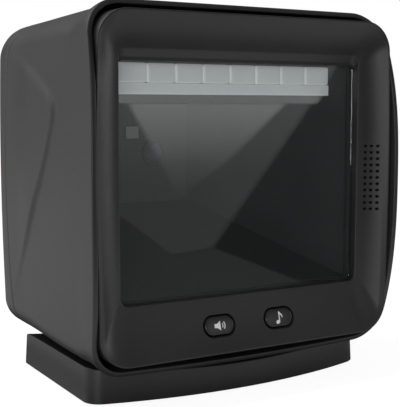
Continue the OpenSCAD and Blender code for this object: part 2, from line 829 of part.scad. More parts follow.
module hinge_pin() color(steel_colour) {
    half = ear_x + ear_t + 2;
    x_rod(pin_r, -half, half, axis_y, axis_z);
}

module friction_washers() color(steel_colour) {
    both_sides() difference() {
        x_rod(3.5, arm_half + 0.1, ear_x - 0.1, axis_y, axis_z);
        x_rod(pin_r + 0.05, arm_half, ear_x, axis_y, axis_z);
    }
}

module pin_clips() color(steel_colour) {
    x0 = ear_x + ear_t + 0.1;
    both_sides() difference() {
        x_rod(2.7, x0, x0 + 0.8, axis_y, axis_z);
        x_rod(pin_r + 0.01, x0 - 1, x0 + 2, axis_y, axis_z);
    }
}

module hinge_screws() color(steel_colour) {
    both_sides() {
        z_rod(screw_r, 33, 25.5, plate_z + 0.1, plate_top + 1.6 + eps);
        z_rod(head_r, 33, 25.5, plate_top + 1.6, plate_top + 3);
    }
}

module base_screws() color(steel_colour) {
    both_sides() for (y = [-22, 10]) {
        z_rod(head_r, 53.5, y, 0.2, plate_z);
        z_rod(screw_r, 53.5, y, plate_z - eps, base_h - 3);
    }
}

front_bezel();
main_housing();
rear_cover();
window_glass();
window_gasket();
optical_chamber();
light_diffuser();
led_board();
illumination_leds();
status_light();
camera_holder();
lens_barrel();
lens_glass();
image_sensor();
sensor_board();
main_board();
processor_shield();
board_connectors();
ribbon_cable();
cable_socket();
speaker_basket();
speaker_cone();
speaker_magnet();
speaker_gasket();
button_board();
volume_switch();
tone_switch();
board_screws();
chamber_screws();
bezel_screws();
housing_screws();
hinge_arm();
hinge_bushes();
arm_screws();
volume_button();
volume_icon();
tone_button();
tone_icon();
base_shell();
base_plate();
ballast_weight();
stop_pads();
rubber_feet();
hinge_brackets();
hinge_pin();
friction_washers();
pin_clips();
hinge_screws();
base_screws();
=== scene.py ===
"""Hands-free presentation barcode scanner: surfaces, finishes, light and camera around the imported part."""

import json
import math

import bmesh
import bpy
import numpy as np
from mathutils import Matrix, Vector


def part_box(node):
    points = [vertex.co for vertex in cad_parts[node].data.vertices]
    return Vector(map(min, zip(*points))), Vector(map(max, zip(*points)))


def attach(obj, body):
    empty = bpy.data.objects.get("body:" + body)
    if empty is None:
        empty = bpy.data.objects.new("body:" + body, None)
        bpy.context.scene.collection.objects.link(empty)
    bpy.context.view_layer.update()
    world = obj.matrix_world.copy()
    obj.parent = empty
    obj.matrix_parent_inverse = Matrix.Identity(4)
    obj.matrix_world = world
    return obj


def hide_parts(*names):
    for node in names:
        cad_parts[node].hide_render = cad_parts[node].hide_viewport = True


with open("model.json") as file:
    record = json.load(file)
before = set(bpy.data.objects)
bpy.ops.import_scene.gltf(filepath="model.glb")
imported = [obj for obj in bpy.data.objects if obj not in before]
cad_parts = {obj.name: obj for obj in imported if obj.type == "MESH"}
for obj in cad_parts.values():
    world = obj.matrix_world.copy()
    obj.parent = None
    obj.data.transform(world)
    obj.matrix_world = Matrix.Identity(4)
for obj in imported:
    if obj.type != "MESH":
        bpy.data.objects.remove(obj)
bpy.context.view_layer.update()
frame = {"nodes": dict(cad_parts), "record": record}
MM = 0.001


def box_mm(node):
    low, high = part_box(node)
    return low / MM, high / MM


# ---------- sizes, in mm ----------

house_low, house_high = box_mm("main_housing")
cover_high = box_mm("rear_cover")[1]
glass_low, glass_high = box_mm("window_glass")
bezel_low, bezel_high = box_mm("front_bezel")
base_low, base_high = box_mm("base_shell")

HEAD_W = house_high.x - house_low.x
HEAD_TOP, HEAD_BOTTOM = 142.85, 10.9
BELLY_RISE = 0.9  # how far the underside lifts behind the front lip
HEAD_H = HEAD_TOP - HEAD_BOTTOM
HEAD_Z = (HEAD_TOP + HEAD_BOTTOM) / 2
FRONT_Y = house_low.y
REAR_Y = cover_high.y
COVER_DEPTH = 14
SEAM_Y = REAR_Y - COVER_DEPTH
CORNER_R, LOW_R, REAR_LOW_R = 13, 5, 9
WALL = 2
SIDE_BOW, TOP_BOW, BOTTOM_BOW = (2.4, 1.2), (0.0, 2.2), (1.3, 5.2)
SIDE_TAPER, TOP_DROP = 0.9, 2.4
LIP_IN = 0.4
SEAM_ARC = 390
LIP_MID, LIP_FALL = 79, (2.75, 4.0)
LIP_EDGE = 0.6
SEAM_GAP = 0.35
CREASE_Z, CREASE_RISE = 17.2, 0.02  # height of the lower side edge at y 0, and how fast it falls rearward
CREASE_IN = 2.6
SEAM_EDGE = 0.35
TONGUE = 2.2  # how far the cover reaches into the housing
COVER_EDGE = 8.5

CREST_Y = FRONT_Y + 2.5
DISH_D = 6.2
OPEN_Y = CREST_Y + DISH_D
GLASS_Y, GLASS_T = glass_low.y, glass_high.y - glass_low.y
SKIRT_Y = bezel_high.y
BEZEL_WIDEN = 0.6  # the visible frame is this much wider than the CAD node
BEZEL_W = bezel_high.x - bezel_low.x + BEZEL_WIDEN
BEZEL_H = bezel_high.z - bezel_low.z
BEZEL_Z = (bezel_high.z + bezel_low.z) / 2
BEZEL_R = 11
BEZEL_BOW = (1.5, 0, 0)
BEZEL_WALL = 2.4
CREST_R = 0.8
REBATE = 2.8  # how much larger the glass is than its opening
WIN_W = glass_high.x - glass_low.x - REBATE
WIN_H = glass_high.z - glass_low.z - REBATE
WIN_Z = (glass_high.z + glass_low.z) / 2
TOP_CHAMFER, SEAL_T = 2.5, 1.1
RIM_R = 3.5

BUTTON_X, BUTTON_Z = 13.2, 26.5
BUTTON_W, BUTTON_H, BUTTON_EDGE = 12.3, 6.7, 0.75
BUTTON_PLAY = 0.6
FACE_TILT = math.radians(16)
GRILLE_X, GRILLE_Z = 57.4, 78
GRILLE_COLUMN, GRILLE_PITCH, GRILLE_HOLE = 2.1, 2.5, 1.2
GRILLE_COLUMNS, GRILLE_ROWS = 3, 11

BASE_W = base_high.x - base_low.x
BASE_FRONT, BASE_REAR = base_low.y, base_high.y
BASE_FRONT_R = 200
BASE_H, BASE_TOP_R = 10.6, 570
BASE_Z0 = base_low.z
BASE_DRAFT = 0.8 / 15.2
BASE_EDGE = 0.5
BASE_CORNER_R, BASE_REAR_R = 7.0, 1.2
BASE_WALL = 2.2
AXIS_Y = 25.5
FALL = math.radians(9)
SEAT_X, SEAT_Y, SEAT_R = 38, -26, 4.1


# ---------- mesh helpers ----------

def make_object(name, verts, faces, sharp=34):
    mesh = bpy.data.meshes.new(name)
    mesh.from_pydata([tuple(float(c) * MM for c in v) for v in verts], [], faces)
    b = bmesh.new()
    b.from_mesh(mesh)
    bmesh.ops.remove_doubles(b, verts=b.verts, dist=1e-7)
    bmesh.ops.recalc_face_normals(b, faces=b.faces)
    b.to_mesh(mesh)
    b.free()
    obj = bpy.data.objects.new(name, mesh)
    bpy.context.scene.collection.objects.link(obj)
    soften(obj, sharp)
    return obj


def soften(obj, sharp=34):
    for p in obj.data.polygons:
        p.use_smooth = True
    obj.data.set_sharp_from_angle(angle=math.radians(sharp))


def loft(name, rings, closed=False, sharp=34):
    """Skin through rings of equal length. Closed joins the last ring to the first, else both ends
    are capped."""
    n, m = len(rings[0]), len(rings)
    faces = []
    for k in range(m if closed else m - 1):
        a, b = k * n, (k + 1) % m * n
        faces += [(a + i, a + (i + 1) % n, b + (i + 1) % n, b + i) for i in range(n)]
    if not closed:
        faces.append(tuple(range(n - 1, -1, -1)))
        faces.append(tuple((m - 1) * n + i for i in range(n)))
    return make_object(name, np.concatenate(rings), faces, sharp)


def combine(obj, others, how, sharp=34):
    """Cuts others out of obj, or adds them to it."""
    for other in others:
        m = obj.modifiers.new(how, "BOOLEAN")
        m.operation, m.solver, m.object = how, "EXACT", other
    bpy.context.view_layer.update()
    graph = bpy.context.evaluated_depsgraph_get()
    mesh = bpy.data.meshes.new_from_object(obj.evaluated_get(graph))
    obj.modifiers.clear()
    obj.data = mesh
    mesh.name = obj.name
    for other in others:
        bpy.data.objects.remove(other)
    soften(obj, sharp)
    return obj


def unit_outline(corner, along_x, along_z):
    """Rows (a, b, c, d) of a rounded rectangle: x = a (w/2 - r) + b r and z = c (h/2 - r) + d r."""
    signs = [(1, 1), (-1, 1), (-1, -1), (1, -1)]
    rows = []
    for q, (sx, sz) in enumerate(signs):
        for i in range(corner + 1):
            t = math.pi / 2 * (q + i / corner)
            rows.append((sx, math.cos(t), sz, math.sin(t)))
        nx, nz = signs[(q + 1) % 4]
        steps = along_x if q % 2 == 0 else along_z
        for k in range(1, steps):
            f = k / steps
            rows.append((sx + (nx - sx) * f, math.cos(t), sz + (nz - sz) * f, math.sin(t)))
    return np.array(rows)


UNIT = unit_outline(14, 46, 72)


def outline(w, h, r, bow=(0, 0, 0), z=0.0, unit=UNIT):
    """X and Z of a rounded rectangle bowed outward inside its size: its sides, its top and its bottom."""
    side, top, bottom = bow
    w0, h0 = w - 2 * side, h - top - bottom
    x = unit[:, 0] * (w0 / 2 - r) + unit[:, 1] * r
    v = unit[:, 2] * (h0 / 2 - r) + unit[:, 3] * r
    lift = np.where(v > 0, top, -1.0 * bottom) * (1 - (2 * x / w0) ** 2)
    return np.stack([x + np.sign(x) * side * (1 - (2 * v / h0) ** 2), v + lift + (bottom - top) / 2 + z], 1)


def at_y(flat, y):
    """A ring of an X and Z outline, set at y, a number or one for each point."""
    return np.stack([flat[:, 0], np.broadcast_to(y, len(flat)).astype(float), flat[:, 1]], 1)


def turn(*degrees):
    """Sine and cosine of each angle."""
    return [(math.sin(math.radians(a)), math.cos(math.radians(a))) for a in degrees]


def smooth(t):
    t = np.clip(t, 0, 1)
    return t * t * (3 - 2 * t)


def rod(name, r, x, z, y0, y1, n=20):
    ring = [(x + r * math.cos(2 * math.pi * i / n), z + r * math.sin(2 * math.pi * i / n)) for i in range(n)]
    return loft(name, [np.array([(p[0], y, p[1]) for p in ring]) for y in (y0, y1)])


def block(name, low, high):
    x0, y0, z0 = low
    x1, y1, z1 = high
    flat = [(x0, z0), (x1, z0), (x1, z1), (x0, z1)]
    return loft(name, [np.array([(x, y, z) for x, z in flat]) for y in (y0, y1)])


# ---------- head outline ----------

def grow(pair, t, start, end):
    """From the first of the pair to the second as t goes from start to end."""
    return pair[0] + (pair[1] - pair[0]) * smooth((t - start) / (end - start))


def head_outline(y, inset):
    """X and Z of the head's section at y: t runs from 0 at the lip to 1 at the seam."""
    t = (y - FRONT_Y) / (SEAM_Y - FRONT_Y)
    bow = (grow(SIDE_BOW, t, 0, 1), grow(TOP_BOW, t, 0.12, 0.27), grow(BOTTOM_BOW, t, 0.08, 0.2))
    low_r = grow((CORNER_R, LOW_R), t, 0.08, 0.22) + grow((0, REAR_LOW_R - LOW_R), t, 0.3, 1)
    r = np.where(UNIT[:, 2] > 0, CORNER_R, low_r)
    w = HEAD_W - 2 * grow((LIP_IN, 0), t, 0.8, 1) - 2 * SIDE_TAPER * t
    up = grow((0, BELLY_RISE), t, 0.08, 0.2)
    return outline(w - 2 * inset, HEAD_H - TOP_DROP * t - up - 2 * inset, np.maximum(r - inset, 3), bow,
                   HEAD_Z - (TOP_DROP * t - up) / 2)


def lip_at(z):
    """The lip is nearly flat at mid-height and curves back towards the head's top and bottom."""
    low, high = LIP_FALL
    return FRONT_Y + np.where(z > LIP_MID, high, low) * np.abs((z - LIP_MID) / 45) ** 3


def seam_at(z):
    return SEAM_Y - SEAM_ARC + np.sqrt(SEAM_ARC ** 2 - (z - HEAD_Z) ** 2)


def head_ring(where, inset):
    """Ring of the head whose y follows where(z)."""
    y = np.zeros(len(UNIT))
    for _ in range(5):
        flat = head_outline(y, inset)
        y = where(flat[:, 1])
    return at_y(flat, y)


def head_slice(y, inset):
    """Ring of the head at a single y."""
    return at_y(head_outline(np.full(len(UNIT), float(y)), inset), y)


# Raised leaf on each side: its front boundary, (y, z), from the top down
LEAF = np.array([(34, 128.5), (22, 125.6), (13, 123), (4, 119.5), (-7, 114.5), (-13.5, 110.8),
                 (-17.2, 107.6), (-18, 104.6), (-16.5, 101), (-11, 90.5), (-5, 81), (3, 71), (17, 50),
                 (27.5, 34.7), (33.5, 25)], float)
LEAF_RISE = 1.25


def leaf_height(y, z):
    """How far the side is raised at y and z."""
    zs = np.linspace(LEAF[0, 1], LEAF[-1, 1], 400)
    ys = np.interp(-zs, -LEAF[:, 1], LEAF[:, 0])
    kernel = np.hanning(13) / np.hanning(13).sum()
    ys = np.convolve(np.pad(ys, 6, mode="edge"), kernel, "valid")
    gap = np.sqrt((y[:, None] - ys) ** 2 + (z[:, None] - zs) ** 2)
    near, inside = gap.min(1), y > np.interp(-z, -zs, ys)
    upper = smooth((z - 98) / 10)
    width = 0.9 + 1.1 * upper
    rise = LEAF_RISE * (0.7 + 0.3 * upper) * smooth(near / width) * inside
    fade_back = 1 - smooth((y - 6) / 26) * 0.85
    return rise * fade_back * smooth((LEAF[0, 1] - z) / 2.5 + 1) * smooth((z - LEAF[-1, 1]) / 6)


def raise_leaf(ring):
    side = np.abs(ring[:, 0]) > HEAD_W / 2 - 4.5
    out = ring.copy()
    x, y, z = ring.T
    up = np.where(side, leaf_height(y, z), 0)
    room = HEAD_W / 2 - 0.03 - np.abs(x)
    out[:, 0] = x + np.sign(x) * np.minimum(up, np.maximum(room, 0))
    return out


# ---------- main housing ----------

def build_housing():
    rings = []
    for v in np.linspace(1, 0, 8):
        rings.append(head_ring(lambda z: (lip_at(z) + 0.7) * (1 - v) + seam_at(z) * v, WALL))
    for s, c in turn(*np.linspace(15, 90, 5)):
        rings.append(head_ring(lambda z: lip_at(z) + 0.7 * (1 - s), WALL - 0.7 + 0.7 * c))
    for s, c in turn(*np.linspace(0, 90, 8)):
        rings.append(head_ring(lambda z: lip_at(z) + LIP_EDGE * (1 - c), LIP_EDGE * (1 - s)))
    for v in np.linspace(0, 1, 62)[1:]:
        rings.append(raise_leaf(head_ring(
            lambda z: (lip_at(z) + LIP_EDGE) * (1 - v) + (seam_at(z) - SEAM_EDGE) * v, 0)))
    for s, c in turn(30, 60, 90):
        rings.append(head_ring(lambda z: seam_at(z) - SEAM_EDGE * (1 - s), SEAM_EDGE * (1 - c)))
    return loft("housing_shell", rings, closed=True)


def below_crease(y0, y1):
    """Everything lower than the crease that runs along both lower sides."""
    x = HEAD_W / 2 + 5
    low = HEAD_BOTTOM - 5
    return [np.array([(-x, y, low), (x, y, low), (x, y, CREASE_Z - CREASE_RISE * y),
                      (-x, y, CREASE_Z - CREASE_RISE * y)]) for y in (y0, y1)]


def build_painted_shade_belly():
    """Belly of the head, which the shell stops short of at the crease; its near-black colour is painted
    shade for the shadowed gap under the crease.
    """
    rings = []
    for y, more in ((-30, 3.0), (-29, 1.2), (-27, 0)):
        rings.append(head_slice(y, CREASE_IN + more))
    for y in np.linspace(-20, SEAM_Y + 6, 12):
        rings.append(head_slice(y, CREASE_IN))
    belly = loft("belly", rings)
    inside = [head_slice(y, CREASE_IN + 1) for y in np.linspace(-40, REAR_Y, 12)]
    neck = block("neck", (-14, AXIS_Y - 7, 0), (14, AXIS_Y + 7, 30))
    above = block("above", (-80, -60, CREASE_Z + 0.9), (80, 60, 200))
    return combine(belly, [loft("inside", inside), above, neck], "DIFFERENCE")


# ---------- rear cover ----------

def cover_rings():
    last = REAR_Y - COVER_EDGE
    rings = []
    for s, c in turn(*np.linspace(90, 0, 7)):
        y = REAR_Y - WALL - COVER_EDGE * (1 - s)
        rings.append(head_slice(y, WALL + COVER_EDGE * (1 - c)))
    rings.append(head_ring(lambda z: seam_at(z) - TONGUE, WALL + 0.9))
    rings.append(head_ring(lambda z: seam_at(z) - TONGUE, WALL + 0.12))
    rings.append(head_ring(lambda z: seam_at(z) + SEAM_GAP, WALL + 0.12))
    for s, c in turn(90, 60, 30, 0):
        rings.append(head_ring(lambda z: seam_at(z) + SEAM_GAP + SEAM_EDGE * (1 - s), SEAM_EDGE * (1 - c)))
    for v in (0.35, 0.7):
        rings.append(head_ring(lambda z: (seam_at(z) + SEAM_GAP + SEAM_EDGE) * (1 - v) + last * v, 0))
    for s, c in turn(*np.linspace(0, 90, 11)):
        y = last + COVER_EDGE * s
        rings.append(head_slice(y, COVER_EDGE * (1 - c)))
    return rings


def build_rear():
    cover = loft("rear_shell", cover_rings())
    bosses, cuts = [], []
    for sx in (-1, 1):
        for sz in (-1, 1):
            x, z = sx * 54, HEAD_Z + sz * 47
            bosses.append(rod("boss", 4.2, x, z, SEAM_Y - TONGUE, REAR_Y - 1.2, 32))
            cuts.append(rod("recess", 3, x, z, REAR_Y - 8, REAR_Y + 1, 32))
            cuts.append(rod("hole", 1.5, x, z, SEAM_Y - 4, REAR_Y - 7, 24))
    z_low = box_mm("cable_socket")[0].z - 0.4
    cuts.append(block("socket_cut", (-7.8, SEAM_Y, z_low), (7.8, REAR_Y + 1, z_low + 12.8)))
    combine(cover, bosses, "UNION")
    return combine(cover, cuts, "DIFFERENCE")


# ---------- bezel ----------

def dish_depth(t):
    return DISH_D * (0.37 * t + 0.63 * (1 - (1 - t) ** 2))


def crest_fall(s):
    """How far the rounded outer edge lies behind the crest, s in from the bezel's side."""
    return CREST_R - np.sqrt(np.maximum(CREST_R ** 2 - np.maximum(CREST_R - s, 0) ** 2, 0))


def bezel_outline(inset):
    return outline(BEZEL_W - 2 * inset, BEZEL_H - 2 * inset, BEZEL_R - inset, BEZEL_BOW, BEZEL_Z)


def window_outline(wider, lowered=0.0, r=3.0):
    """The window's opening, made wider all round, with its top edge lowered."""
    height = WIN_H + 2 * wider
    flat = outline(WIN_W + 2 * wider, height, r, (0.1, 0.1, 0.1), WIN_Z)
    bottom = WIN_Z - WIN_H / 2 - wider
    flat[:, 1] = bottom + (flat[:, 1] - bottom) * (1 - lowered / height)
    return flat


def build_bezel():
    side, rim, step = bezel_outline(0), window_outline(0.5, r=RIM_R), 2.2
    inner = bezel_outline(step)
    run = np.linalg.norm(rim - inner, axis=1)
    rings = [at_y(side, SKIRT_Y), at_y(side, CREST_Y + 5), at_y(side, CREST_Y + CREST_R + 0.4)]
    for s in (0, 0.04, 0.12, 0.25, 0.42, 0.62, 0.85, 1.1, 1.4, 1.8):
        t = (s - 0.6) / (step + run - 0.6)
        rings.append(at_y(bezel_outline(s), CREST_Y + dish_depth(t) + crest_fall(s)))
    for v in np.linspace(0, 1, 22):
        t = (step + run * v - 0.6) / (step + run - 0.6)
        rings.append(at_y(inner + (rim - inner) * v, CREST_Y + dish_depth(t)))
    for s, c in turn(25, 50, 70, 90):
        rings.append(at_y(window_outline(0.5 * (1 - s)), OPEN_Y + 0.5 * (1 - c)))
    rings += [
        at_y(window_outline(0, TOP_CHAMFER), GLASS_Y - 0.5),
        at_y(window_outline(0, TOP_CHAMFER + SEAL_T), GLASS_Y - 0.42),
        at_y(window_outline(0, TOP_CHAMFER + SEAL_T), GLASS_Y - 0.06),
        at_y(window_outline(1.5), GLASS_Y - 0.06),
        at_y(window_outline(1.5), GLASS_Y + GLASS_T),
        at_y(window_outline(3), GLASS_Y + GLASS_T),
        at_y(window_outline(3), GLASS_Y - 1.8),
        at_y(bezel_outline(BEZEL_WALL), GLASS_Y - 1.8),
        at_y(bezel_outline(BEZEL_WALL), SKIRT_Y)]
    bezel = loft("bezel_shell", rings, closed=True)
    pad = block("pad", (-24, CREST_Y + 5.6, BUTTON_Z - 7), (24, CREST_Y + 7.8, BUTTON_Z + 6))
    combine(bezel, [pad], "UNION")
    cuts = [button_hole(-BUTTON_X), button_hole(BUTTON_X)]
    for i in range(GRILLE_COLUMNS):
        for k in range(GRILLE_ROWS):
            x = GRILLE_X + (i - GRILLE_COLUMNS // 2) * GRILLE_COLUMN
            z = GRILLE_Z + (k - GRILLE_ROWS // 2) * GRILLE_PITCH
            cuts.append(rod("grille", GRILLE_HOLE / 2, x, z, CREST_Y - 1, GLASS_Y + 1.6, 14))
    return combine(bezel, [merge(cuts)], "DIFFERENCE")


def merge(parts):
    """One mesh object out of several that don't touch."""
    b = bmesh.new()
    for o in parts:
        b.from_mesh(o.data)
    first = parts[0]
    b.to_mesh(first.data)
    b.free()
    for o in parts[1:]:
        bpy.data.objects.remove(o)
    return first


STADIUM = unit_outline(14, 10, 2)
FACE_Y = CREST_Y + 3.7


def pill(x, w, h, r):
    """Rounded shape of the given size and corner radius, centred on the button at x."""
    return outline(w, h, r, (0, 0, 0), BUTTON_Z, STADIUM) + (x, 0)


def stadium(x, wider):
    """Outline of a button's face, made wider all round."""
    return pill(x, BUTTON_W + 2 * wider, BUTTON_H + 2 * wider, BUTTON_H / 2 + wider - 0.01)


def face_y(flat, back=0.0):
    """Y of the leaning plane that the buttons and the bezel round them share."""
    return FACE_Y + back + (flat[:, 1] - BUTTON_Z) * math.tan(FACE_TILT)


def button_hole(x):
    """Cutter for a button's hole, whose mouth is rounded: each ring is a flare and a depth."""
    rings = []
    w, h, r = BUTTON_W + 1, BUTTON_H + BUTTON_PLAY, BUTTON_H / 2 + 0.29
    for flare, back in ((0.5, -2.8), (0.5, -0.15), (0.4, 0.08), (0.26, 0.32), (0.14, 0.62), (0.06, 1),
                        (0, 1.5)):
        flat = pill(x, w + 2 * flare, h + 2 * flare, r + flare)
        rings.append(at_y(flat, face_y(flat, back)))
    rings.append(at_y(flat, SKIRT_Y))
    return loft("button_cut", rings)


# ---------- buttons ----------

def build_button(name, x):
    back_y = CREST_Y + 8.3
    stem_end = box_mm("volume_button")[1].y
    stem, flange = pill(x, 4.4, 4.4, 2.19), pill(x, BUTTON_W + 3.4, BUTTON_H + 2.4, 3)
    rings = [at_y(stem, stem_end), at_y(stem, back_y + 0.9), at_y(flange, back_y + 0.9),
             at_y(flange, back_y - 0.1), at_y(stadium(x, 0), back_y - 0.1)]
    for s, c in turn(*np.linspace(0, 90, 8)):
        flat = stadium(x, -BUTTON_EDGE * (1 - c))
        rings.append(at_y(flat, face_y(flat, BUTTON_EDGE * (1 - s) + 0.02)))
    for narrower, dome in ((1.2, 0.03), (1.9, 0.06), (2.6, 0.08), (3.2, 0.09)):
        flat = stadium(x, -narrower)
        rings.append(at_y(flat, face_y(flat, 0.02 - dome)))
    return loft(name, rings, sharp=50)


def icon_piece(name, x, shapes):
    """White print on a button's face: flat shapes in the face's own right and up directions."""
    half = 0.12
    up = np.array([0, math.sin(FACE_TILT), math.cos(FACE_TILT)])
    out = np.array([0, -math.cos(FACE_TILT), math.sin(FACE_TILT)])
    origin = np.array([x, FACE_Y, BUTTON_Z])
    verts, faces = [], []
    for shape in shapes:
        n, start = len(shape), len(verts)
        for level in (-half, half):
            for u, v in shape:
                verts.append(origin + np.array([u, 0, 0]) + up * v + out * level)
        faces.append(tuple(start + i for i in range(n)))
        faces.append(tuple(start + 2 * n - 1 - i for i in range(n)))
        faces += [(start + i, start + n + i, start + n + (i + 1) % n, start + (i + 1) % n) for i in range(n)]
    return make_object(name, verts, faces, 30)


def arc_band(r0, r1, half, n=12, centre=(0, 0)):
    angles = [math.radians(-half + 2 * half * i / n) for i in range(n + 1)]
    outer = [(centre[0] + r1 * math.cos(a), centre[1] + r1 * math.sin(a)) for a in angles]
    inner = [(centre[0] + r0 * math.cos(a), centre[1] + r0 * math.sin(a)) for a in reversed(angles)]
    return outer + inner


def loudspeaker_shapes():
    body = [(-2.3, -0.75), (-1.2, -0.75), (0.25, -1.75), (0.25, 1.75), (-1.2, 0.75), (-2.3, 0.75)]
    return [body, arc_band(1.1, 1.42, 38), arc_band(1.95, 2.3, 38)]


def note_shapes():
    head = [(-0.75 + 0.95 * math.cos(a) * 0.95 - 0.3 * math.sin(a) * 0.2,
             -1.6 + 0.72 * math.sin(a) + 0.2 * math.cos(a))
            for a in [2 * math.pi * i / 28 for i in range(28)]]
    stem = [(-0.22, -1.5), (0.18, -1.5), (0.18, 2.3), (-0.22, 2.3)]
    flag = [(0.18, 2.3), (0.18, 1.35), (0.62, 0.95), (1.02, 0.5), (1.16, -0.1), (1.42, -0.1), (1.5, 0.5),
            (1.3, 1.0), (0.85, 1.45), (0.45, 1.85)]
    return [head, stem, flag]


# ---------- window, light strip ----------

def build_glass():
    low, high = box_mm("window_glass")
    w, h = high.x - low.x, high.z - low.z
    c = 0.25
    rings = []
    for y, inset in ((low.y, c), (low.y + c, 0), (high.y - c, 0), (high.y, c)):
        rings.append(at_y(outline(w - 2 * inset, h - 2 * inset, 3 - inset, (0, 0, 0), WIN_Z), y))
    return loft("window_pane", rings, sharp=20)


def build_light_strip():
    low, high = box_mm("light_diffuser")
    cells, gap = 8, 0.55
    pitch = (high.x - low.x) / cells
    w, h, z = pitch - gap, high.z - low.z, (low.z + high.z) / 2
    unit = unit_outline(5, 6, 4)
    parts = []
    for i in range(cells):
        x = low.x + (i + 0.5) * pitch
        rings = []
        for inset, y in ((0, high.y), (0, low.y + 0.75), (0.12, low.y + 0.4), (0.4, low.y + 0.14),
                         (0.9, low.y + 0.04), (2.2, low.y)):
            r = max(0.8 - inset * 0.3, 0.2)
            flat = outline(w - 2 * inset, h - 2 * inset, r, (0, 0, 0), z, unit) + (x, 0)
            rings.append(at_y(flat, y))
        parts.append(loft("cell", rings, sharp=60))
    bar = block("bar", (low.x, low.y + 1.1, low.z + 0.3), (high.x, high.y - 0.02, high.z - 0.3))
    ledge = block("ledge", (low.x, low.y + 0.5, low.z - 4.2), (high.x, low.y + 1.9, low.z - 0.15))
    strip = merge(parts + [bar, ledge])
    strip.name = strip.data.name = "light_strip"
    return strip


# ---------- base ----------

def base_flat(inset):
    """Outline of the base seen from above: bowed front, rounded corners."""
    r, rr = BASE_CORNER_R, BASE_REAR_R
    w, big = BASE_W / 2 - inset, BASE_FRONT_R - inset
    centre = BASE_FRONT + BASE_FRONT_R
    cy = centre - math.sqrt((big - r) ** 2 - (w - r) ** 2)
    a0 = math.asin((w - r) / (big - r))
    rear = BASE_REAR - inset
    pts = []
    for k in range(25):
        a = -math.pi / 2 + a0 * k / 24
        pts.append((big * math.cos(a), centre + big * math.sin(a)))
    for k in range(1, 11):
        a = -math.pi / 2 + a0 + (math.pi / 2 - a0) * k / 10
        pts.append((w - r + r * math.cos(a), cy + r * math.sin(a)))
    last_y = pts[-1][1]
    for k in range(1, 13):
        pts.append((w, last_y + (rear - rr - last_y) * k / 12))
    for k in range(1, 8):
        a = math.pi / 2 * k / 7
        pts.append((w - rr + rr * math.cos(a), rear - rr + rr * math.sin(a)))
    half = w - rr
    for k in range(1, 20):
        pts.append((half * (1 - k / 20), rear))
    pts.append((0, rear))
    left = [(-x, y) for x, y in pts[1:-1]][::-1]
    return np.array(pts + left)


def base_top(x, y, down=0.0):
    """Height of the base's curved top, which falls away behind the tilt axis."""
    arc = BASE_H + BASE_TOP_R - np.sqrt(BASE_TOP_R ** 2 - x ** 2)
    back = arc / math.cos(FALL) - (y - AXIS_Y - 1) * math.tan(FALL)
    return np.minimum(arc, back) - down


def base_rings(inset, down, z0, edge):
    rings = []

    def ring(extra, z_of):
        flat = base_flat(inset + extra)
        return np.stack([flat[:, 0], flat[:, 1], z_of(flat[:, 0], flat[:, 1])], 1)

    rings.append(ring(0.3, lambda x, y: x * 0 + z0))
    for f in (0, 0.3, 0.65, 1):
        draft = BASE_DRAFT * f * (BASE_H - z0)
        rings.append(ring(draft, lambda x, y: z0 + 0.3 + f * (base_top(x, y, down) - edge - z0 - 0.3)))
    for s, c in turn(15, 30, 45, 60, 75, 90):
        rings.append(ring(draft + edge * (1 - c), lambda x, y: base_top(x, y, down) - edge * (1 - s)))
    for extra in (3, 5, 8, 12, 17, 22, 27):
        rings.append(ring(extra, lambda x, y: base_top(x, y, down)))
    return rings


def build_base():
    base = loft("base_cover", base_rings(0, 0, BASE_Z0, BASE_EDGE))
    inner = loft("inner", base_rings(BASE_WALL, BASE_WALL, BASE_Z0 - 1.5, 0.6))
    slot = block("slot", (-27.4, AXIS_Y - 5.2, 4), (27.4, BASE_REAR - 2.8, 20))
    combine(base, [inner], "DIFFERENCE")
    combine(base, [slot], "DIFFERENCE")
    seats = []
    for x in (-SEAT_X, SEAT_X):
        ring = [(x + SEAT_R * c, SEAT_Y + SEAT_R * s) for s, c in turn(*np.arange(32) * 360 / 32)]
        seats.append(loft("seat", [np.array([(px, py, z) for px, py in ring]) for z in (BASE_H, 20)]))
    return combine(base, seats, "DIFFERENCE")


# ---------- finishes ----------

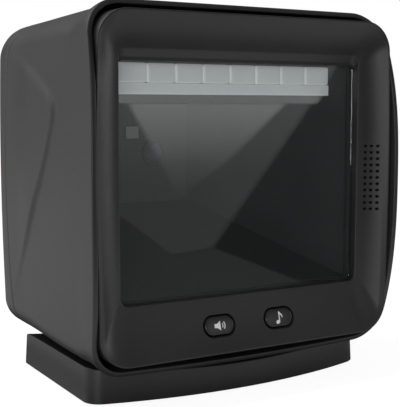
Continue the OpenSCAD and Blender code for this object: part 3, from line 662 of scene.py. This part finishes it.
def procedural(name, colour, rough, vary=0.04, grain=900, bump=0.08, depth=0.00002, specular=0.5,
               metallic=0.0, coat=0.0, shade=0.12, stretch=(1, 1, 1)):
    """Principled finish with a fine grain, an uneven sheen and a slight unevenness of colour."""
    mat = bpy.data.materials.new(name)
    mat.use_nodes = True
    nodes, links = mat.node_tree.nodes, mat.node_tree.links
    shader = nodes["Principled BSDF"]
    shader.inputs["Metallic"].default_value = metallic
    shader.inputs["Specular IOR Level"].default_value = specular
    shader.inputs["Coat Weight"].default_value = coat
    place = nodes.new("ShaderNodeTexCoord")
    mapping = nodes.new("ShaderNodeMapping")
    mapping.inputs["Scale"].default_value = stretch
    links.new(place.outputs["Object"], mapping.inputs["Vector"])

    fine = nodes.new("ShaderNodeTexNoise")
    fine.inputs["Scale"].default_value = grain
    fine.inputs["Detail"].default_value = 3
    links.new(mapping.outputs["Vector"], fine.inputs["Vector"])
    lift = nodes.new("ShaderNodeBump")
    lift.inputs["Strength"].default_value = bump
    lift.inputs["Distance"].default_value = depth
    links.new(fine.outputs["Fac"], lift.inputs["Height"])
    links.new(lift.outputs["Normal"], shader.inputs["Normal"])

    broad = nodes.new("ShaderNodeTexNoise")
    broad.inputs["Scale"].default_value = 38
    broad.inputs["Detail"].default_value = 4
    links.new(mapping.outputs["Vector"], broad.inputs["Vector"])
    sheen = nodes.new("ShaderNodeMapRange")
    sheen.inputs["To Min"].default_value = rough - vary
    sheen.inputs["To Max"].default_value = rough + vary
    links.new(broad.outputs["Fac"], sheen.inputs["Value"])
    links.new(sheen.outputs["Result"], shader.inputs["Roughness"])

    tone = nodes.new("ShaderNodeValToRGB")
    for e, k in zip(tone.color_ramp.elements, (1 - shade, 1 + shade)):
        e.color = (*[min(c * k, 1) for c in colour], 1)
    tone.color_ramp.elements[0].position, tone.color_ramp.elements[1].position = 0.35, 0.65
    links.new(broad.outputs["Fac"], tone.inputs["Fac"])
    links.new(tone.outputs["Color"], shader.inputs["Base Color"])
    return mat


def glass_finish(name, tint):
    """Clear pane: what is behind it shows through, and its face mirrors the lights."""
    mat = bpy.data.materials.new(name)
    mat.use_nodes = True
    nodes, links = mat.node_tree.nodes, mat.node_tree.links
    nodes.remove(nodes["Principled BSDF"])
    clear, gloss = nodes.new("ShaderNodeBsdfTransparent"), nodes.new("ShaderNodeBsdfGlossy")
    clear.inputs["Color"].default_value = (*tint, 1)
    gloss.inputs["Roughness"].default_value = 0.03
    gloss.inputs["Color"].default_value = (1, 1, 1, 1)
    edge, mix = nodes.new("ShaderNodeLayerWeight"), nodes.new("ShaderNodeMixShader")
    edge.inputs["Blend"].default_value = 0.5
    fall, share = nodes.new("ShaderNodeMath"), nodes.new("ShaderNodeMath")
    fall.operation, share.operation = "POWER", "MULTIPLY_ADD"
    fall.inputs[1].default_value = 5
    share.inputs[1].default_value, share.inputs[2].default_value = 0.9, 0.045
    share.use_clamp = True
    links.new(edge.outputs["Facing"], fall.inputs[0])
    links.new(fall.outputs["Value"], share.inputs[0])
    links.new(share.outputs["Value"], mix.inputs["Fac"])
    links.new(clear.outputs["BSDF"], mix.inputs[1])
    links.new(gloss.outputs["BSDF"], mix.inputs[2])
    links.new(mix.outputs["Shader"], nodes["Material Output"].inputs["Surface"])
    return mat


SHELL = procedural("shell_plastic", (0.018, 0.018, 0.019), 0.46, bump=0.16, grain=1500)
BEZEL = procedural("bezel_plastic", (0.016, 0.016, 0.017), 0.42, bump=0.12, grain=1600)
DARK = procedural("dark_plastic", (0.012, 0.012, 0.013), 0.5, bump=0.1)
CHAMBER = procedural("chamber_plastic", (0.045, 0.045, 0.047), 0.42, vary=0.08, bump=0.05, grain=500)
BUTTON = procedural("button_plastic", (0.012, 0.012, 0.013), 0.27, vary=0.03, bump=0.05, grain=1800)
ICON = procedural("icon_white", (0.86, 0.87, 0.88), 0.5, bump=0.04, shade=0.03)
WHITE = procedural("white_plastic", (0.78, 0.79, 0.8), 0.36, bump=0.04, shade=0.04)
# Painted glow: the light strip gets a faint emission that stands in for studio light falling on its white
# cells, not a working lamp
PAINTED_GLOW_STRIP = procedural("painted_glow_plastic", (0.78, 0.79, 0.8), 0.36, bump=0.04, shade=0.04)
painted_glow_shader = PAINTED_GLOW_STRIP.node_tree.nodes["Principled BSDF"]
painted_glow_shader.inputs["Emission Color"].default_value = (1, 1, 1, 1)
painted_glow_shader.inputs["Emission Strength"].default_value = 0.19
BOARD = procedural("circuit_board", (0.012, 0.09, 0.04), 0.4, bump=0.15, grain=700, coat=0.3)
STEEL = procedural("steel", (0.55, 0.56, 0.57), 0.3, metallic=1, grain=700, bump=0.1, shade=0.06,
                   stretch=(1, 6, 1))
RUBBER = procedural("rubber", (0.02, 0.02, 0.02), 0.75, bump=0.2, grain=900)
FOAM = procedural("foam", (0.025, 0.025, 0.026), 0.9, bump=0.5, grain=1100, depth=0.0001)
FILM = procedural("flex_film", (0.55, 0.3, 0.09), 0.35, bump=0.03)
# Painted shade: a near-black finish for the belly, standing in for the shadow in the gap under the head's
# lower crease
PAINTED_SHADE = procedural("painted_shade_plastic", (0.004, 0.004, 0.004), 0.7, bump=0.1, specular=0.15)
PANE = glass_finish("window_glass", (0.86, 0.88, 0.88))
LENS = procedural("lens_glass", (0.01, 0.012, 0.02), 0.2, vary=0.02, bump=0.0)
FINISH = {
    "shell_plastic": SHELL, "bezel_plastic": BEZEL, "window_glass": PANE, "dark_plastic": DARK,
    "button_plastic": BUTTON, "icon_white": ICON, "white_plastic": WHITE, "circuit_board": BOARD,
    "steel": STEEL, "rubber": RUBBER, "foam": FOAM, "lens_glass": LENS, "flex_film": FILM}


def dress(obj, finish):
    obj.data.materials.clear()
    obj.data.materials.append(finish)
    for p in obj.data.polygons:
        p.material_index = 0


for item in frame["record"]["materials"]:
    for node in item.get("nodes", []):
        dress(frame["nodes"][node], FINISH[item["slot"]])
for node in ("optical_chamber", "lens_barrel"):
    dress(frame["nodes"][node], CHAMBER)


def place(obj, finish, slot, body, *nodes):
    dress(obj, finish)
    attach(obj, body)
    if nodes:
        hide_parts(*nodes)
    return obj


shell = build_housing()
# The shell is cut away below the crease so that the belly's painted shade shows there
crease_cut = loft("crease_cut", below_crease(-28, SEAM_Y + 4))
hollow = loft("hollow", [head_slice(y, 1.5) for y in np.linspace(-29, SEAM_Y + 5, 12)])
combine(shell, [combine(crease_cut, [hollow], "DIFFERENCE")], "DIFFERENCE")
place(shell, SHELL, "shell_plastic", "head", "main_housing")
# The belly piece carries painted shade under the crease
place(build_painted_shade_belly(), PAINTED_SHADE, "dark_plastic", "head")
place(build_rear(), SHELL, "shell_plastic", "head", "rear_cover")
place(build_bezel(), BEZEL, "bezel_plastic", "head", "front_bezel")
place(build_glass(), PANE, "window_glass", "head", "window_glass")
# The light strip's faint emission is painted light
place(build_light_strip(), PAINTED_GLOW_STRIP, "white_plastic", "head", "light_diffuser")
for word, x in (("volume", -BUTTON_X), ("tone", BUTTON_X)):
    place(build_button(word + "_cap", x), BUTTON, "button_plastic", word + "_button", word + "_button")
for word, x, shapes in (("volume", -BUTTON_X, loudspeaker_shapes()), ("tone", BUTTON_X, note_shapes())):
    place(icon_piece(word + "_print", x, shapes), ICON, "icon_white", word + "_button", word + "_icon")
place(build_base(), SHELL, "shell_plastic", "base", "base_shell")


# ---------- stage: floor, lights, camera ----------

def plane(name, corners, finish):
    mesh = bpy.data.meshes.new(name)
    mesh.from_pydata([tuple(c) for c in corners], [], [tuple(range(len(corners)))])
    obj = bpy.data.objects.new(name, mesh)
    bpy.context.scene.collection.objects.link(obj)
    mesh.materials.append(finish)
    return obj


def glow(name, strength):
    mat = bpy.data.materials.new(name)
    mat.use_nodes = True
    nodes = mat.node_tree.nodes
    nodes.remove(nodes["Principled BSDF"])
    light = nodes.new("ShaderNodeEmission")
    light.inputs["Color"].default_value = (1, 1, 1, 1)
    light.inputs["Strength"].default_value = strength
    mat.node_tree.links.new(light.outputs["Emission"], nodes["Material Output"].inputs["Surface"])
    return mat


def area(name, at, size, power):
    """Soft light that looks at the middle of the object."""
    data = bpy.data.lights.new(name, "AREA")
    data.shape, data.size, data.size_y = "RECTANGLE", size[0], size[1]
    data.energy = power
    obj = bpy.data.objects.new(name, data)
    obj.location = at
    obj.rotation_euler = (Vector((0, 0, 0.07)) - Vector(at)).to_track_quat("-Z", "Y").to_euler()
    bpy.context.scene.collection.objects.link(obj)


def pale_floor(name, own, albedo):
    """Pale floor that is mostly bright by itself, so that only a faint shadow falls on it."""
    mat = glow(name, own)
    nodes, links = mat.node_tree.nodes, mat.node_tree.links
    matt, both = nodes.new("ShaderNodeBsdfDiffuse"), nodes.new("ShaderNodeAddShader")
    matt.inputs["Color"].default_value = (albedo, albedo, albedo, 1)
    links.new(nodes["Emission"].outputs["Emission"], both.inputs[0])
    links.new(matt.outputs["BSDF"], both.inputs[1])
    links.new(both.outputs["Shader"], nodes["Material Output"].inputs["Surface"])
    return mat


def unseen(obj, diffuse, glossy):
    """A stage piece that the camera doesn't see."""
    obj.visible_camera = obj.visible_transmission = obj.visible_shadow = False
    obj.visible_diffuse, obj.visible_glossy = diffuse, glossy


def flat_on_floor(name, x0, y0, x1, y1, z, finish):
    return plane(name, [(x0, y0, z), (x1, y0, z), (x1, y1, z), (x0, y1, z)], finish)


floor = flat_on_floor("floor", -3, -3, 3, 3, 0, pale_floor("floor_pale", 0.93, 0.2))
floor.visible_glossy = floor.visible_diffuse = False
# Two bright stretches of table, which light the object's left side and front from below
for name, x0, y0, x1, y1, strength in (("table_glow", -1.2, -0.1, -0.075, 1.2, 0.7),
                                       ("front_glow", -0.2, -0.18, 0.6, -0.058, 0.85)):
    unseen(flat_on_floor(name, x0, y0, x1, y1, 0.001, glow(name, strength)), True, True)

world = bpy.data.worlds.new("studio")
bpy.context.scene.world = world
world.use_nodes = True
# The room that lights the object brightens with height. The camera itself sees plain white.
wn, wl = world.node_tree.nodes, world.node_tree.links
room, seen = wn["Background"], wn.new("ShaderNodeBackground")
seen.inputs["Color"].default_value = (1, 1, 1, 1)
for background in (room, seen):
    background.inputs["Strength"].default_value = 1
path, pick = wn.new("ShaderNodeLightPath"), wn.new("ShaderNodeMixShader")
coord, split = wn.new("ShaderNodeTexCoord"), wn.new("ShaderNodeSeparateXYZ")
ramp = wn.new("ShaderNodeValToRGB")
wl.new(coord.outputs["Generated"], split.inputs["Vector"])
height = wn.new("ShaderNodeMapRange")
height.inputs["From Min"].default_value = -1
wl.new(split.outputs["Z"], height.inputs["Value"])
wl.new(height.outputs["Result"], ramp.inputs["Fac"])
for e, (pos, v) in zip(ramp.color_ramp.elements, ((0.42, 0.07), (0.9, 0.3))):
    e.position, e.color = pos, (v, v, v, 1)
wl.new(ramp.outputs["Color"], room.inputs["Color"])
wl.new(path.outputs["Is Camera Ray"], pick.inputs["Fac"])
wl.new(room.outputs["Background"], pick.inputs[1])
wl.new(seen.outputs["Background"], pick.inputs[2])
wl.new(pick.outputs["Shader"], wn["World Output"].inputs["Surface"])

area("key_left", (-1.0, 0.7, 0.1), (1.3, 0.9), 3.8)
area("top", (-0.6, 0.5, 1.0), (1.0, 1.0), 8)
area("fill_right", (1.1, -0.1, 0.15), (0.5, 0.4), 2)
area("front_left", (-0.9, -1.0, 0.2), (0.5, 0.4), 4)

# What the window mirrors: bright panels that stand in front of the object and stay there. Each is
# sized so that, from the camera's place, its mirror image covers the X and Z points of the glass
# given for it, in mm. From other places the images fall elsewhere, as any reflection does.
EYE = np.array([-188.46, -329.1, 106.06])
IMAGE_Y = 2 * glass_low.y - EYE[1]  # the camera's own mirror image
PANEL_Y = glass_low.y - 300
SPREAD = (PANEL_Y - IMAGE_Y) / (glass_low.y - IMAGE_Y)


def mirrored(points, nearer=0):
    """Panel corners whose mirror image shows at these points of the glass."""
    flat = EYE[[0, 2]] + (np.array(points, float) - EYE[[0, 2]]) * SPREAD
    return [Vector((x, PANEL_Y + nearer, z)) * MM for x, z in flat]


def fading_glow(name, levels):
    """Glow whose strength follows height: pairs of a height on the glass and a strength."""
    heights = [EYE[2] + (z - EYE[2]) * SPREAD for z, _ in levels]
    peak = max(v for _, v in levels)
    mat = glow(name, peak)
    nodes, links = mat.node_tree.nodes, mat.node_tree.links
    where, part = nodes.new("ShaderNodeTexCoord"), nodes.new("ShaderNodeSeparateXYZ")
    span, fade = nodes.new("ShaderNodeMapRange"), nodes.new("ShaderNodeValToRGB")
    span.inputs["From Min"].default_value = heights[0] * MM
    span.inputs["From Max"].default_value = heights[-1] * MM
    while len(fade.color_ramp.elements) < len(levels):
        fade.color_ramp.elements.new(0.5)
    for e, h, (_, v) in zip(fade.color_ramp.elements, heights, levels):
        e.position = (h - heights[0]) / (heights[-1] - heights[0])
        e.color = (v / peak, v / peak, v / peak, 1)
    links.new(where.outputs["Object"], part.inputs["Vector"])
    links.new(part.outputs["Z"], span.inputs["Value"])
    links.new(span.outputs["Result"], fade.inputs["Fac"])
    links.new(fade.outputs["Color"], nodes["Emission"].inputs["Color"])
    return mat


VEILS = (
    ("veil", [(-54, 127), (46, 127), (43.5, 121), (-12.4, 54.3), (-29.6, 53), (-54, 71)],
     [(53, 0.34), (80, 0.37), (94, 0.5), (107, 0.6), (127, 0.6)]),
    ("band_veil", [(-54, 107.2), (34, 107.2), (37, 110.6), (-54, 110.6)], [(107, 1.5), (111, 1.5)]),
    ("inner_veil", [(-46.7, 107), (18.9, 107), (-7.8, 85.5), (-27, 74)],
     [(74, 0.37), (85, 0.6), (95, 1.15), (107, 1.75)]),
    ("low_veil", [(-54, 71), (-29.6, 53), (-12.4, 54.3), (54, 27), (54, 15), (-54, 15)],
     [(15, 0.22), (71, 0.22)]))
for number, (name, corners, levels) in enumerate(VEILS):
    unseen(plane(name, mirrored(corners, number), fading_glow(name, levels)), False, True)

# Camera: where it stands and how it is turned
camera_data = bpy.data.cameras.new("camera")
camera = bpy.data.objects.new("camera", camera_data)
camera.location = Vector(EYE) * MM
YAW, PITCH = math.radians(30.35), math.radians(5.93)
forward = Vector((math.sin(YAW) * math.cos(PITCH), math.cos(YAW) * math.cos(PITCH), -math.sin(PITCH)))
camera.rotation_euler = forward.to_track_quat("-Z", "Y").to_euler()
camera_data.sensor_fit = "AUTO"
camera_data.sensor_width = 36
camera_data.lens = 82.579
camera_data.clip_start, camera_data.clip_end = 0.01, 20
bpy.context.scene.collection.objects.link(camera)
bpy.context.scene.camera = camera
bpy.context.scene.view_settings.view_transform = "Standard"
